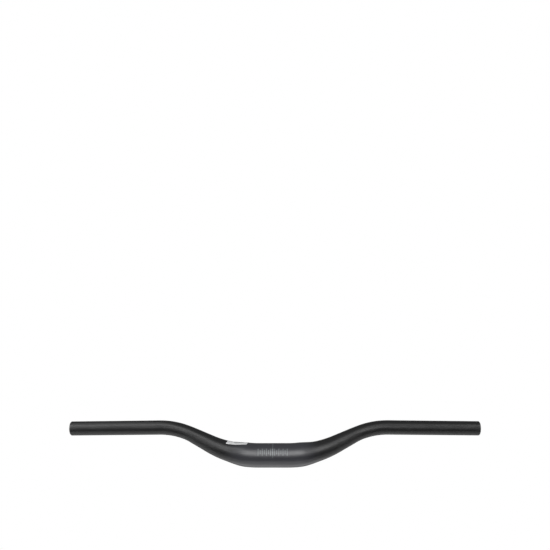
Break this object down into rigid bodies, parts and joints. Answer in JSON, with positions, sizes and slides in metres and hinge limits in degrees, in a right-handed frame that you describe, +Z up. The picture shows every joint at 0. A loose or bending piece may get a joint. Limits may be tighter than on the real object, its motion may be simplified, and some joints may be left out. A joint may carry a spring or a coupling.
{
  "type": "bicycle handlebar",
  "caption": "Small riser handlebar for a bicycle: a hollow aluminium tube with a thick clamp zone, tapered shoulders, and slim grip ends that rise and sweep back.",
  "frame": {"origin": "middle of the clamp zone, on the tube's axis", "axes": "+X along the bar, +Y back to the rider, +Z up"},
  "size_m": [0.5526, 0.0563, 0.0664],
  "materials": {
    "bar_finish": "satin black, anodised",
    "label_film": "pale matt film of the bare label on the left shoulder",
    "mark_ink": "grey printed ink of the centring marks"
  },
  "bodies": {
    "root": {"handlebar": "bar_finish"}
  },
  "joints": []
}
